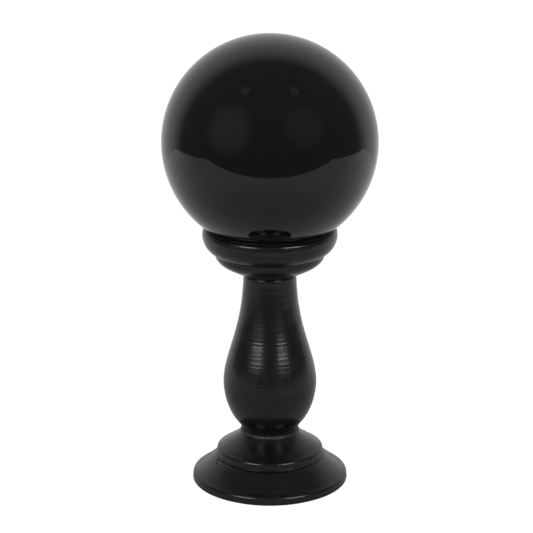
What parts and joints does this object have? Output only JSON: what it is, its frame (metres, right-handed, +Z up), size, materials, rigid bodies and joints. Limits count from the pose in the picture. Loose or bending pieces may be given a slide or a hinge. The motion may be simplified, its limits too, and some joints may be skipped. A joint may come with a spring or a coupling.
{
  "type": "crystal ball on stand",
  "caption": "Opaque black glass ball resting loose in the cup of a slim turned black wooden stand with a two-tier round foot.",
  "frame": {"origin": "centre of the felt pad's underside, on the surface that the stand rests on", "axes": "+Z up along the axis that every piece is turned about"},
  "size_m": [0.08, 0.08, 0.1729],
  "materials": {
    "black_glass": "polished, opaque black all through",
    "black_lacquer": "turned hardwood under satin black lacquer, with faint tool rings",
    "painted_glue": "dried glue, uneven, painted over in black",
    "bare_beech": "bare, unpainted",
    "zinc_steel": "zinc plated",
    "black_felt": "thin pressed felt, self-adhesive"
  },
  "bodies": {
    "stand": {"cup": "black_lacquer", "neck_dowel": "bare_beech", "stem": "black_lacquer", "glue_ring": "painted_glue", "foot_dome": "black_lacquer", "foot_disc": "black_lacquer", "stem_screw": "zinc_steel", "felt_pad": "black_felt"},
    "ball": {"glass_ball": "black_glass"}
  },
  "joints": [
    {"name": "ball_lift", "type": "slide", "parent": "stand", "child": "ball", "axis": [0, 0, 1], "range_m": [0, 0.06]}
  ]
}
